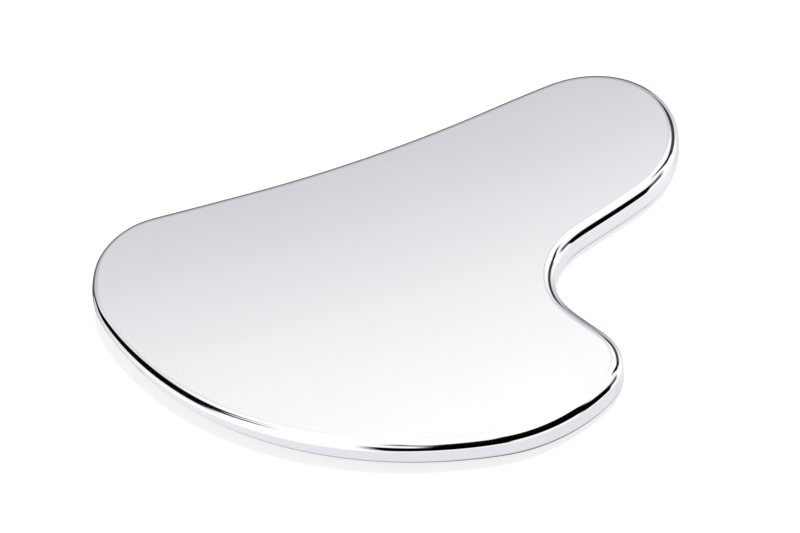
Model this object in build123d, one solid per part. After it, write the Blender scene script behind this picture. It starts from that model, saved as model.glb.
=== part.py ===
from build123d import *
from collections import namedtuple
import math
import os

# A gua sha scraper: one solid plate of polished stainless steel, cut to a two-lobed outline and
# rounded over all the way round, above and below. It has no seam, insert, fastener or moving part.
#
# Millimetres, +Z up. The origin is under the middle of the outline's bounding box, on the underside.
# +X runs along the long hollow back towards the long lobe, and +Y points out of the back.
#
# The outline is a closed chain of rounds that run into each other, or have a straight between them,
# and it has no corner. It is followed clockwise, seen from above, with the metal on the right.

# Driving dimensions
THICKNESS = 4.2             # between the two broad faces
EDGE_RADIUS = 1.3           # round-over of each rim; a narrow upright wall is left between the two

HEEL_CENTRE = (-23.0, 17.2)
HEEL_RADIUS = 18.8          # the broad blunt end
HEEL_CORNER_RADIUS = 8.3    # tighter round where the heel meets the back
HEEL_CORNER_ANGLE = 167.8   # where the tighter round takes over, in degrees from +X

BACK_DEEPEST_POINT = (-0.35, 25.1)
BACK_RADIUS = 158.0         # long shallow hollow for the jaw line and the neck

LONG_LOBE_CENTRE = (28.0, 14.2)
LONG_LOBE_RADIUS = 14.3
LOBE_CORNER_RADIUS = 12.05  # tighter round where the long lobe meets the back
LOBE_CORNER_ANGLE = 29.8    # where the tighter round ends, in degrees from +X

NOTCH_CENTRE = (26.45, -9.8)
NOTCH_RADIUS = 7.85         # the hollow between the two lobes

SOLE_CENTRE = (10.1, -8.7)
SOLE_RADIUS = 19.45         # the full curve below the short lobe
SHORT_LOBE_RADIUS = 5.2     # tip of the short lobe
SHORT_LOBE_ANGLE = -58.6    # where the tip takes over from the sole, in degrees from +X

BELLY_RADIUS = 63.7         # the long working edge, from the sole back to the heel

TOUCHING = 0.01             # rounds whose ends are nearer than this meet with no straight between

# A round of the outline. A positive radius bulges out of the plate; a negative one is a hollow.
Round = namedtuple("Round", "centre radius")


def point_on(round_, outward):
    """The point of a round where the outline's outward direction is the one given."""
    return round_.centre + outward * round_.radius


def tighter_round(outer, radius, angle):
    """A smaller round inside another, touching it at an angle in degrees from +X."""
    outward = Vector(math.cos(math.radians(angle)), math.sin(math.radians(angle)))
    return Round(outer.centre + outward * (outer.radius - radius), radius)


def enclosing_round(first, second, radius):
    """A large round that touches two others from outside, with its centre on the metal's side."""
    from_first = radius - first.radius
    from_second = radius - second.radius
    gap = second.centre - first.centre
    along = (from_first**2 - from_second**2 + gap.length**2) / (2 * gap.length)
    across = math.sqrt(from_first**2 - along**2)
    forward = gap.normalized()
    rightward = Vector(forward.Y, -forward.X)
    return Round(first.centre + forward * along + rightward * across, radius)


def shared_outward(first, second):
    """The outward direction where the outline leaves one round for the next one."""
    gap = second.centre - first.centre
    forward = gap.normalized()
    leftward = Vector(-forward.Y, forward.X)
    lean = (first.radius - second.radius) / gap.length
    lean = max(-1.0, min(1.0, lean))
    return leftward * math.sqrt(1.0 - lean**2) + forward * lean


def outline_rounds():
    """The plate's rounds, clockwise from the heel."""
    heel = Round(Vector(*HEEL_CENTRE), HEEL_RADIUS)
    heel_corner = tighter_round(heel, HEEL_CORNER_RADIUS, HEEL_CORNER_ANGLE)
    back = Round(Vector(*BACK_DEEPEST_POINT) + Vector(0, BACK_RADIUS), -BACK_RADIUS)
    long_lobe = Round(Vector(*LONG_LOBE_CENTRE), LONG_LOBE_RADIUS)
    lobe_corner = tighter_round(long_lobe, LOBE_CORNER_RADIUS, LOBE_CORNER_ANGLE)
    notch = Round(Vector(*NOTCH_CENTRE), -NOTCH_RADIUS)
    sole = Round(Vector(*SOLE_CENTRE), SOLE_RADIUS)
    short_lobe = tighter_round(sole, SHORT_LOBE_RADIUS, SHORT_LOBE_ANGLE)
    belly = enclosing_round(sole, heel, BELLY_RADIUS)
    return [heel, heel_corner, back, lobe_corner, long_lobe, notch, short_lobe, sole, belly]


def outline_edges(rounds):
    """Arcs on every round, with a tangent straight wherever two neighbours don't touch."""
    edges = []
    for number, current in enumerate(rounds):
        previous = rounds[number - 1]
        following = rounds[(number + 1) % len(rounds)]
        outward_in = shared_outward(previous, current)
        outward_out = shared_outward(current, following)
        halfway = (outward_in + outward_out).normalized()
        arc_end = point_on(current, outward_out)
        next_start = point_on(following, outward_out)
        touching = (next_start - arc_end).length < TOUCHING
        if touching:
            arc_end = next_start
        edges.append(ThreePointArc(point_on(current, outward_in), point_on(current, halfway), arc_end))
        if not touching:
            edges.append(Line(arc_end, next_start))
    return edges


def scraper_plate():
    """The whole scraper: the outline raised to its thickness, with both rims rounded over."""
    outline = make_face(outline_edges(outline_rounds()))
    middle = outline.bounding_box().center()
    blank = extrude(Pos(-middle.X, -middle.Y) * outline, THICKNESS)
    upper_rim = blank.faces().sort_by(Axis.Z)[-1].edges()
    lower_rim = blank.faces().sort_by(Axis.Z)[0].edges()
    return fillet(upper_rim + lower_rim, EDGE_RADIUS)


os.makedirs("parts", exist_ok=True)
plate = scraper_plate()
plate.label = "scraper_plate"
export_step(plate, "parts/scraper_plate.step")
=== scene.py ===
import math
from collections import defaultdict, namedtuple

import bpy
import numpy as np
from mathutils import Matrix, Vector


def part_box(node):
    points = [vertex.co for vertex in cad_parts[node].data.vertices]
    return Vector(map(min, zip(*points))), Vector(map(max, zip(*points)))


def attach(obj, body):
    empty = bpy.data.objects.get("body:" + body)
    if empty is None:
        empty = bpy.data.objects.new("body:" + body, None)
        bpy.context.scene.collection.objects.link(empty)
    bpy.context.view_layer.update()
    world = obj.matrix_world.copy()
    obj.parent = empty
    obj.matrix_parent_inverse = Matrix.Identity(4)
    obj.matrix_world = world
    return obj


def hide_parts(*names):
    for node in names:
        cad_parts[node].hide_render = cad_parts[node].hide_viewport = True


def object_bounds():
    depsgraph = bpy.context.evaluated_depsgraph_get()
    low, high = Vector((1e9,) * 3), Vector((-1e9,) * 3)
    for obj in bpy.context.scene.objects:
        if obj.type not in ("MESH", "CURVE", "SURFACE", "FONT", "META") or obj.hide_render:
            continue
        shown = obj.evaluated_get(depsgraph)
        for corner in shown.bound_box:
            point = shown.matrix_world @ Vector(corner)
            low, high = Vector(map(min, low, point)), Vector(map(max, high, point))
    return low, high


# The looks of a gua sha scraper: one plate of polished steel with rounded rims, on a pale studio floor.
# Metres, +Z up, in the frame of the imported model. Angles are in degrees until they are used.

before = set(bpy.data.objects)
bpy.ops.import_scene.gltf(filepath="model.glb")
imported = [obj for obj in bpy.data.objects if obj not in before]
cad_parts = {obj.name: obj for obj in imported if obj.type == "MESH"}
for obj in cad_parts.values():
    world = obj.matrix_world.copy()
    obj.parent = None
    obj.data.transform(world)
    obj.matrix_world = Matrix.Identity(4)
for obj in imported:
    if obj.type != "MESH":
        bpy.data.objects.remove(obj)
cad_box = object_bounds()
MM = 0.001
BLACK = (0.0, 0.0, 0.0)
WHITE = (1.0, 1.0, 1.0)

# The plate's mesh
PLATE_NODE = "scraper_plate"
STATION_SPACING = 0.3 * MM      # between two columns of vertices along the outline
ROUND_STEPS = 18                # rows of faces in each rim's round
ROUND_EASE = 0.35               # 0 is a plain quarter circle; more eases it into the face and the wall
OUTLINE_EASE = 0.9 * MM         # how far a change of curvature is spread along the outline
WELD = 0.001 * MM               # vertices nearer than this are one point
UPRIGHT = 0.02                  # the most upward lean of a normal on the upright wall
STEPS_PER_CHORD = 16            # fine steps between two corners of the CAD outline

# The steel, as (red, green, blue) or shares of 0 to 1
STEEL_COLOUR = (0.78, 0.78, 0.79)
STEEL_BRIGHTNESS = 0.78         # the studio is lit up by as much as the steel dims it
RIM_ROUGHNESS = 0.035           # the rims are buffed to a mirror
FACE_ROUGHNESS = 0.25           # the broad faces are hazier
SMUDGE_ROUGHNESS = 0.02         # how much finger marks change the roughness
SMUDGE_SIZE = 14 * MM
SMUDGE_EDGES = (0.35, 0.7)      # the levels of their noise where a smudge starts and where it is full
HAIRLINE_LENGTH = 9 * MM        # the faces' faint grain, left by lapping along the plate's length
HAIRLINE_WIDTH = 0.22 * MM
HAIRLINE_SHADE = 0.025
HAIRLINE_DEPTH = 0.00002 * MM
SCRATCH_SIZE = 11 * MM          # how far apart the fine, stray scratches are
SCRATCH_WIDTH = 0.004           # as a share of the noise that draws them
SCRATCH_SHADE = 0.05
SCRATCH_DEPTH = 0.00005 * MM
PATCH_SIZE = SCRATCH_SIZE / 3   # the scratches show only in patches
PATCH_EDGES = (0.55, 0.65)      # the levels of their noise where a patch starts and where it is full
PAINTED_EDGE_DARKENING = 0.18          # painted shade: the steel's colour darkened along a line where a flat face meets the buffed rim
PAINTED_EDGE_LEAST = 0.6           # the painted shade's share where there is no smudge
CREST_ROUGHNESS = 0.03          # the rims' crests are handled most, and worn

# Where the steel's zones start and end, as the upward part of the normal: 1 on a face and 0 on the wall
FACE_ZONE = (0.97, 0.999)       # from the buffed rim to the hazier face
PAINTED_EDGE_OUTSIDE = (0.988, 0.997)      # the two soft borders of the painted shade line
PAINTED_EDGE_INSIDE = (0.99999, 0.9998)
CREST_BELOW = (0.3, 0.6)        # the rim's crest, from the wall's side and from the face's
CREST_ABOVE = (0.95, 0.8)

# The camera. It frames the plate as the photograph does, at an elevation picked from a wide range that
# would do so too, each with a plate of another width.
CAMERA_AZIMUTH = 3.93           # to the right of the object's front
CAMERA_ELEVATION = 46.24
CAMERA_ROLL = -21.3             # tips the picture so that the long lobe points up to the right
CAMERA_DISTANCE = 137.75 * MM   # to the point it looks at
CAMERA_AIM = (0.9 * MM, 2.0 * MM)   # that point, from the middle of the upper face
CAMERA_CLIP = CAMERA_DISTANCE / 20      # nothing nearer is drawn
CAMERA_LENS = 48.06             # millimetres, on a sensor 36 wide
SENSOR_WIDTH = 36.0

# The stage
FLOOR_SIZE = 8.0
FLOOR_GAP = 0.02 * MM           # between the floor and the plate's underside
FLOOR_GLOW = 0.70               # the floor is a light table, so that shadows on it are faint
FLOOR_WHITE = 0.30
DOME_LIGHT = 0.83               # plain light from all round, for the floor
KEY_POWER = 12.0
KEY_SIZE = 0.14
KEY_AZIMUTH = 69.0              # behind the object and to its right
KEY_ELEVATION = 66.8
KEY_DISTANCE = 1.2

# What the steel mirrors, as it shows in the metal. An azimuth of 0 is beyond the object, 90 is to its
# right and 180 is behind the camera. Elevations are above the horizon.
FAR_GREY = (0.53, 0.535, 0.58)      # the soft grey panel high on the far side
FAR_GREY_SPAN = (42.4, 48.4)        # the elevations where it is full and where it has faded out
FAR_GREY_BEND = 0.0075              # how fast those fall off to the sides, in degrees per square degree
FAR_GREY_SIDES = (35.0, 85.0)       # the azimuths between which it fades out, on both sides
OVERHEAD_LIGHT = 1.3                # the room is brighter still overhead
OVERHEAD_SPAN = (55.0, 63.0)        # where it starts to get brighter and where it is brightest
TABLE_GREY = (0.76, 0.76, 0.80)     # the pale table in front of the object
TABLE_SPAN = (-52.0, -36.0)         # where the table is full and where the white room starts
UNDER_GREY = 0.15                   # the shaded strip right under the rim
UNDER_SPAN = (-86.0, -60.0)

# A dark or grey panel of the studio. Its lower and upper edges may slope, in degrees per degree. A darkness
# below 0 is a panel that is brighter than the room.
Panel = namedtuple("Panel", "azimuth half_width low high low_slope high_slope soft darkness",
                   defaults=(0.0, 0.0, 3.0, 1.0))
PANELS = [
    # the black card behind the camera, with its ragged ends to the left and the right
    Panel(170, 30, -23.5, 52, high_slope=-0.12),
    Panel(-157.5, 11.5, -33, 39),
    Panel(-146, 12, -34, 4, high_slope=0.8),
    Panel(134, 13, -34, 19, high_slope=0.8),
    Panel(116, 12, -18, 12, soft=5, darkness=0.9),
    # a thin bar that slopes up from its left end
    Panel(-140, 10, 30, 41, low_slope=1.2, high_slope=1.2, soft=4, darkness=0.85),
    # the black card to the left, with its cut corner and its thin end
    Panel(-63, 18, 12, 47, low_slope=0.1, high_slope=-0.1),
    Panel(-84.5, 13, 6, 44, low_slope=0.6, high_slope=1.2),
    Panel(-94, 4, 25, 46, soft=2.5),
    # the dark stand to the right, and the block on its end
    Panel(57, 27, 14, 38, low_slope=-0.3, soft=4, darkness=0.95),
    Panel(84, 8, 18, 52),
    # the grey room beyond the object, low down, and the dark post that leans against it on the left
    Panel(-7, 40, -40, 18, soft=4, darkness=0.75),
    Panel(-46, 6, -18, 8, low_slope=-4.7, high_slope=-4.7, darkness=0.85),
    # the paler walls of the room, under the left card and over the right end of the card behind the camera
    Panel(-75, 22, -18, 10, soft=5, darkness=0.1),
    Panel(125, 23, 2, 32, soft=8, darkness=0.14),
    # the table: brightly lit between the cards, and in shade on the left and the right
    Panel(-117, 20, -58, -30, soft=6, darkness=-0.3),
    Panel(-60, 42, -95, -51.5, high_slope=0.14, soft=4, darkness=0.36),
    Panel(68, 30, -95, -58, soft=5, darkness=0.28),
]


class Nodes:
    """Short ways to add nodes to the tree of a material or the world, and to join them up."""

    def __init__(self, tree):
        self.tree = tree
        tree.nodes.clear()

    def join(self, value, socket):
        """Feeds a socket from another one, or sets it to a plain value."""
        if isinstance(value, bpy.types.NodeSocket):
            self.tree.links.new(value, socket)
        elif isinstance(value, tuple) and len(value) == 3 and socket.type == "RGBA":
            socket.default_value = (*value, 1.0)
        else:
            socket.default_value = value

    def add(self, kind, inputs, **settings):
        """A node with its settings and inputs filled in. Inputs are keyed by name or number."""
        node = self.tree.nodes.new(kind)
        for name, value in settings.items():
            setattr(node, name, value)
        for name, value in inputs.items():
            self.join(value, node.inputs[name])
        return node

    def math(self, operation, *values):
        node = self.add("ShaderNodeMath", dict(enumerate(values)), operation=operation)
        return node.outputs[0]

    def ramp(self, value, start, end, low=0.0, high=1.0):
        """Runs smoothly from low to high while value runs from start to end."""
        inputs = {"Value": value, "From Min": start, "From Max": end, "To Min": low, "To Max": high}
        return self.add("ShaderNodeMapRange", inputs, interpolation_type="SMOOTHSTEP").outputs[0]

    def mix(self, share, first, second):
        """A colour between two others. The node has its colour sockets after those for plain numbers."""
        return self.add("ShaderNodeMix", {0: share, 6: first, 7: second}, data_type="RGBA").outputs[2]

    def noise(self, place, scale, detail=2.0):
        inputs = {"Vector": place, "Scale": scale, "Detail": detail}
        return self.add("ShaderNodeTexNoise", inputs).outputs["Fac"]


# ---- The plate's shape


def wall_corners(mesh, height):
    """The corners of the upright wall at a height, in order round it, as points and outward directions."""

    def welded(index):
        x, y, _ = mesh.vertices[index].co
        return round(x / WELD), round(y / WELD)

    level = {vertex.index for vertex in mesh.vertices if abs(vertex.co.z - height) < WELD}
    outward = {}
    for corner, normal in zip(mesh.loops, mesh.corner_normals):
        if corner.vertex_index in level and abs(normal.vector.z) < UPRIGHT:
            outward[welded(corner.vertex_index)] = normal.vector.xy.normalized()
    beside = defaultdict(set)
    for edge in mesh.edges:
        first, second = edge.vertices
        if first in level and second in level:
            beside[welded(first)].add(welded(second))
            beside[welded(second)].add(welded(first))
    walk = [min(outward)]
    step = min(beside[walk[0]])
    while step != walk[0]:
        walk.append(step)
        step = next(place for place in beside[walk[-1]] if place != walk[-2])
    return np.array(walk) * WELD, np.array([outward[place] for place in walk])


def counter_clockwise(points, outward):
    """The same loop, followed counter-clockwise as seen from above."""
    x, y = points.T
    area = np.sum(x * np.roll(y, -1) - y * np.roll(x, -1))
    if area > 0:
        return points, outward
    return points[::-1], outward[::-1]


def quarter_turn(directions):
    """Directions turned a quarter turn to the left."""
    return np.stack([-directions[:, 1], directions[:, 0]], axis=1)


def fine_outline(points, outward):
    """Many points on smooth arcs through the corners, each arc square to the outward directions."""
    heading = quarter_turn(outward)
    chord = np.roll(points, -1, axis=0) - points
    turn = np.arccos(np.clip(np.sum(heading * np.roll(heading, -1, axis=0), axis=1), -1, 1))
    pull = (np.linalg.norm(chord, axis=1) / np.cos(turn / 4) ** 2)[:, None]
    leave = (heading * pull)[:, None, :]
    arrive = (np.roll(heading, -1, axis=0) * pull)[:, None, :]
    t = (np.arange(STEPS_PER_CHORD) / STEPS_PER_CHORD)[None, :, None]
    along = chord[:, None, :] * (3 * t**2 - 2 * t**3)
    bend = leave * (t**3 - 2 * t**2 + t) + arrive * (t**3 - t**2)
    return (points[:, None, :] + along + bend).reshape(-1, 2)


def even_outline(fine, count):
    """The outline again, as evenly spaced points."""
    closed = np.vstack([fine, fine[:1]])
    length = np.concatenate([[0.0], np.cumsum(np.linalg.norm(np.diff(closed, axis=0), axis=1))])
    stations = np.arange(count) / count * length[-1]
    return np.stack([np.interp(stations, length, closed[:, axis]) for axis in (0, 1)], axis=1)


def eased_outline(points, reach):
    """The outline with each sudden change of curvature spread out, and each stretch's radius kept."""
    count = len(points)
    step = np.roll(points, -1, axis=0) - points
    length = np.linalg.norm(step, axis=1).mean()
    heading = np.unwrap(np.arctan2(step[:, 1], step[:, 0]))
    steady_turn = 2 * math.pi * np.arange(count) / count
    waves = np.fft.rfft(heading - steady_turn)
    frequency = np.arange(len(waves)) / (count * length)
    waves *= np.exp(-2 * (math.pi * reach * frequency) ** 2)
    heading = np.fft.irfft(waves, count) + steady_turn
    step = np.stack([np.cos(heading), np.sin(heading)], axis=1)
    step -= step.mean(axis=0)
    eased = np.vstack([[0.0, 0.0], np.cumsum(step * length, axis=0)[:-1]])
    return eased + points.mean(axis=0) - eased.mean(axis=0)


def outward_normals(points):
    """Unit normals that point out of a counter-clockwise outline."""
    ahead = np.roll(points, -1, axis=0) - np.roll(points, 1, axis=0)
    ahead /= np.linalg.norm(ahead, axis=1)[:, None]
    return -quarter_turn(ahead)


def rim_round(radius):
    """The rim's round, from the face to the wall: distances outward, distances down, and tilts."""
    t = np.linspace(0.0, 1.0, ROUND_STEPS + 1)
    tilt = math.pi / 2 * (t - ROUND_EASE * np.sin(2 * math.pi * t) / (2 * math.pi))
    middle = (tilt[1:] + tilt[:-1]) / 2
    outward = np.concatenate([[0.0], np.cumsum(np.cos(middle))])
    down = np.concatenate([[0.0], np.cumsum(np.sin(middle))])
    return outward / outward[-1] * radius, down / down[-1] * radius, tilt


def plate_rows(wall, normals, thickness, radius):
    """Rows of vertices round the rim, from the upper face to the lower one, with their normals."""
    rows = []
    for outward, down, tilt in zip(*rim_round(radius)):
        inset = wall - normals * (radius - outward)
        height = np.full((len(wall), 1), thickness - down)
        lean = np.hstack([normals * math.sin(tilt), np.full((len(wall), 1), math.cos(tilt))])
        rows.append((np.hstack([inset, height]), lean))
    mirror = np.array([1.0, 1.0, -1.0])
    lower = [(place * mirror + (0, 0, thickness), lean * mirror) for place, lean in reversed(rows)]
    return rows + lower


def plate_mesh():
    """The plate as one closed mesh: two flat faces, two rounded rims and the wall between them."""
    cad_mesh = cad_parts[PLATE_NODE].data
    lowest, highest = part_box(PLATE_NODE)
    thickness = highest.z - lowest.z
    middle = (highest.z + lowest.z) / 2
    wall_top = min(vertex.co.z for vertex in cad_mesh.vertices if vertex.co.z > middle)
    fine = fine_outline(*counter_clockwise(*wall_corners(cad_mesh, wall_top)))
    perimeter = np.linalg.norm(fine - np.roll(fine, 1, axis=0), axis=1).sum()
    count = round(perimeter / STATION_SPACING)
    wall = eased_outline(even_outline(fine, count), OUTLINE_EASE)
    rows = plate_rows(wall, outward_normals(wall), thickness, highest.z - wall_top)

    faces = [list(range(count))]
    for row in range(len(rows) - 1):
        for column in range(count):
            beside = (column + 1) % count
            upper, lower = row * count, (row + 1) * count
            faces.append([upper + column, lower + column, lower + beside, upper + beside])
    faces.append(list(reversed(range((len(rows) - 1) * count, len(rows) * count))))
    mesh = bpy.data.meshes.new("polished_plate")
    mesh.from_pydata(np.vstack([place for place, _ in rows]).tolist(), [], faces)
    mesh.shade_smooth()
    mesh.normals_split_custom_set_from_vertices(np.vstack([lean for _, lean in rows]).tolist())
    return mesh


def polished_plate():
    """The plate that is shown. It stands for the CAD node and rides on the only body."""
    plate = bpy.data.objects.new("polished_plate", plate_mesh())
    bpy.context.scene.collection.objects.link(plate)
    plate.data.materials.append(polished_steel())
    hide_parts(PLATE_NODE)
    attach(plate, "root")


# ---- The steel


def hairlines(nodes, place):
    """The faint grain of the faces, from 0 to 1: fine lines along the plate's length."""
    scale = (1 / HAIRLINE_LENGTH, 1 / HAIRLINE_WIDTH, 1 / HAIRLINE_WIDTH)
    stretched = nodes.add("ShaderNodeVectorMath", {0: place, 1: scale}, operation="MULTIPLY").outputs[0]
    return nodes.noise(stretched, 1.0)


def scratches(nodes, place):
    """A few thin, curved scratches, from 0 to 1: level lines of a noise, kept only in patches."""
    from_level = nodes.math("SUBTRACT", nodes.noise(place, 1 / SCRATCH_SIZE, detail=1.0), 0.5)
    line = nodes.ramp(nodes.math("ABSOLUTE", from_level), SCRATCH_WIDTH, 0.0)
    patches = nodes.ramp(nodes.noise(place, 1 / PATCH_SIZE), *PATCH_EDGES)
    return nodes.math("MULTIPLY", line, patches)


def polished_steel():
    """Stainless steel: rims buffed to a mirror, hazier faces with a faint grain, smudges and scratches."""
    material = bpy.data.materials.new("polished_steel")
    material.use_nodes = True
    nodes = Nodes(material.node_tree)
    place = nodes.add("ShaderNodeTexCoord", {}).outputs["Object"]
    normal = nodes.add("ShaderNodeNewGeometry", {}).outputs["Normal"]
    level = nodes.math("ABSOLUTE", nodes.add("ShaderNodeSeparateXYZ", {0: normal}).outputs["Z"])
    on_face = nodes.ramp(level, *FACE_ZONE)
    # the line along each face's edge where shade is painted into the steel's colour
    painted_edge_mask = nodes.math("MULTIPLY", nodes.ramp(level, *PAINTED_EDGE_INSIDE),
                           nodes.ramp(level, *PAINTED_EDGE_OUTSIDE))
    crest = nodes.math("MULTIPLY", nodes.ramp(level, *CREST_BELOW), nodes.ramp(level, *CREST_ABOVE))
    grain = nodes.math("MULTIPLY", hairlines(nodes, place), on_face)
    scratch = scratches(nodes, place)
    smudge = nodes.ramp(nodes.noise(place, 1 / SMUDGE_SIZE, detail=4.0), *SMUDGE_EDGES)

    wear = nodes.math("ADD", nodes.math("MULTIPLY", smudge, SMUDGE_ROUGHNESS),
                      nodes.math("MULTIPLY", nodes.math("MULTIPLY", crest, smudge), CREST_ROUGHNESS))
    roughness = nodes.math("ADD", nodes.ramp(on_face, 0.0, 1.0, RIM_ROUGHNESS, FACE_ROUGHNESS), wear)
    shade = nodes.math("MULTIPLY_ADD", grain, -HAIRLINE_SHADE, 1.0)
    shade = nodes.math("MULTIPLY_ADD", scratch, -SCRATCH_SHADE, shade)
    # painted shade: the colour darkened along the face's edge, more where a smudge is
    painted_edge_shade = nodes.math("MULTIPLY", painted_edge_mask, nodes.ramp(smudge, 0.0, 1.0, PAINTED_EDGE_LEAST, 1.0))
    shade = nodes.math("MULTIPLY_ADD", painted_edge_shade, -PAINTED_EDGE_DARKENING, shade)
    colour = nodes.add("ShaderNodeVectorMath", {0: STEEL_COLOUR, 1: shade}, operation="MULTIPLY").outputs[0]
    relief = nodes.math("ADD", nodes.math("MULTIPLY", grain, HAIRLINE_DEPTH),
                        nodes.math("MULTIPLY", scratch, -SCRATCH_DEPTH))
    bump = nodes.add("ShaderNodeBump", {"Height": relief, "Distance": 1.0})
    steel = nodes.add("ShaderNodeBsdfPrincipled", {"Base Color": colour, "Metallic": 1.0,
                                                   "Roughness": roughness, "Normal": bump.outputs[0]})
    nodes.add("ShaderNodeOutputMaterial", {"Surface": steel.outputs[0]})
    return material


# ---- The stage


def panel_light(nodes, azimuth, elevation, panel):
    """The share of light that a panel leaves in a direction: 1 away from it."""
    offset = nodes.math("WRAP", nodes.math("SUBTRACT", azimuth, panel.azimuth), 180.0, -180.0)
    aside = nodes.math("ABSOLUTE", offset)
    low = nodes.math("MULTIPLY_ADD", offset, panel.low_slope, panel.low)
    high = nodes.math("MULTIPLY_ADD", offset, panel.high_slope, panel.high)
    across = nodes.ramp(aside, panel.half_width + panel.soft, panel.half_width - panel.soft)
    above = nodes.ramp(nodes.math("SUBTRACT", elevation, low), -panel.soft, panel.soft)
    below = nodes.ramp(nodes.math("SUBTRACT", high, elevation), -panel.soft, panel.soft)
    covered = nodes.math("MULTIPLY", across, nodes.math("MULTIPLY", above, below))
    return nodes.math("MULTIPLY_ADD", covered, -panel.darkness, 1.0)


def mirrored_studio(nodes):
    """The colour that the steel mirrors in each direction."""
    direction = nodes.add("ShaderNodeTexCoord", {}).outputs["Generated"]
    x, y, z = nodes.add("ShaderNodeSeparateXYZ", {0: direction}).outputs
    azimuth = nodes.math("DEGREES", nodes.math("ARCTAN2", x, y))
    elevation = nodes.math("DEGREES", nodes.math("ARCSINE", z))

    bend = nodes.math("MULTIPLY", nodes.math("POWER", azimuth, 2.0), FAR_GREY_BEND)
    grey = nodes.ramp(nodes.math("ADD", elevation, bend), *reversed(FAR_GREY_SPAN))
    within = nodes.ramp(nodes.math("ABSOLUTE", azimuth), *reversed(FAR_GREY_SIDES))
    grey = nodes.math("MULTIPLY", grey, within)
    overhead = nodes.ramp(elevation, *OVERHEAD_SPAN, 1.0, OVERHEAD_LIGHT)
    above = nodes.mix(grey, overhead, FAR_GREY)
    under = nodes.ramp(elevation, *UNDER_SPAN, UNDER_GREY, 1.0)
    below = nodes.mix(under, BLACK, TABLE_GREY)
    studio = nodes.mix(nodes.ramp(elevation, *TABLE_SPAN), below, above)
    light = 1.0
    for panel in PANELS:
        light = nodes.math("MULTIPLY", light, panel_light(nodes, azimuth, elevation, panel))
    return nodes.mix(light, BLACK, studio)


def studio_world():
    """White for the camera, the studio's panels for the steel, and a plain pale dome for the floor."""
    world = bpy.data.worlds.new("studio")
    world.use_nodes = True
    nodes = Nodes(world.node_tree)
    rays = nodes.add("ShaderNodeLightPath", {}).outputs
    panels = nodes.add("ShaderNodeBackground",
                       {"Color": mirrored_studio(nodes), "Strength": 1.0 / STEEL_BRIGHTNESS})
    dome = nodes.add("ShaderNodeBackground", {"Color": WHITE, "Strength": DOME_LIGHT})
    white = nodes.add("ShaderNodeBackground", {"Color": WHITE, "Strength": 1.0})
    plain = nodes.add("ShaderNodeMixShader",
                      {0: rays["Is Camera Ray"], 1: dome.outputs[0], 2: white.outputs[0]})
    shown = nodes.add("ShaderNodeMixShader",
                      {0: rays["Is Glossy Ray"], 1: plain.outputs[0], 2: panels.outputs[0]})
    nodes.add("ShaderNodeOutputWorld", {"Surface": shown.outputs[0]})
    bpy.context.scene.world = world


def pale_floor():
    """A wide white light table just under the plate. The steel mirrors the studio and not this floor."""
    half = FLOOR_SIZE / 2
    mesh = bpy.data.meshes.new("floor")
    corners = [(-half, -half, 0.0), (half, -half, 0.0), (half, half, 0.0), (-half, half, 0.0)]
    mesh.from_pydata(corners, [], [(0, 1, 2, 3)])
    floor = bpy.data.objects.new("floor", mesh)
    floor.location.z = -FLOOR_GAP
    floor.visible_glossy = False
    bpy.context.scene.collection.objects.link(floor)
    material = bpy.data.materials.new("floor")
    material.use_nodes = True
    nodes = Nodes(material.node_tree)
    white = nodes.add("ShaderNodeBsdfDiffuse", {"Color": (FLOOR_WHITE, FLOOR_WHITE, FLOOR_WHITE)})
    glow = nodes.add("ShaderNodeEmission", {"Color": WHITE, "Strength": FLOOR_GLOW})
    both = nodes.add("ShaderNodeAddShader", {0: white.outputs[0], 1: glow.outputs[0]})
    nodes.add("ShaderNodeOutputMaterial", {"Surface": both.outputs[0]})
    mesh.materials.append(material)


def towards(azimuth, elevation):
    """A unit vector from the object, with azimuth 0 along +Y, 90 along +X and 180 along -Y."""
    azimuth, elevation = math.radians(azimuth), math.radians(elevation)
    level = math.cos(elevation)
    return Vector((math.sin(azimuth) * level, math.cos(azimuth) * level, math.sin(elevation)))


def key_light():
    """One large soft light over the floor. The steel doesn't mirror it."""
    lamp = bpy.data.lights.new("key", "AREA")
    lamp.energy = KEY_POWER
    lamp.size = KEY_SIZE
    key = bpy.data.objects.new("key", lamp)
    direction = towards(KEY_AZIMUTH, KEY_ELEVATION)
    key.location = direction * KEY_DISTANCE
    key.rotation_mode = "QUATERNION"
    key.rotation_quaternion = direction.to_track_quat("Z", "Y")
    key.visible_glossy = False
    bpy.context.scene.collection.objects.link(key)


def camera():
    """The viewpoint that shows this plate as the photograph shows the real one."""
    lowest, highest = cad_box
    middle = (lowest + highest) / 2
    aim = Vector((middle.x + CAMERA_AIM[0], middle.y + CAMERA_AIM[1], highest.z))
    back = towards(180.0 - CAMERA_AZIMUTH, CAMERA_ELEVATION)
    level = Vector((math.cos(math.radians(CAMERA_AZIMUTH)), math.sin(math.radians(CAMERA_AZIMUTH)), 0.0))
    roll = Matrix.Rotation(math.radians(CAMERA_ROLL), 3, back)
    right = roll @ level
    up = back.cross(right)
    data = bpy.data.cameras.new("camera")
    data.lens = CAMERA_LENS
    data.sensor_width = SENSOR_WIDTH
    data.clip_start = CAMERA_CLIP
    eye = bpy.data.objects.new("camera", data)
    eye.matrix_world = Matrix.LocRotScale(aim + back * CAMERA_DISTANCE,
                                          Matrix((right, up, back)).transposed(), None)
    bpy.context.scene.collection.objects.link(eye)
    bpy.context.scene.camera = eye


polished_plate()
studio_world()
pale_floor()
key_light()
camera()
bpy.context.scene.view_settings.view_transform = "Standard"
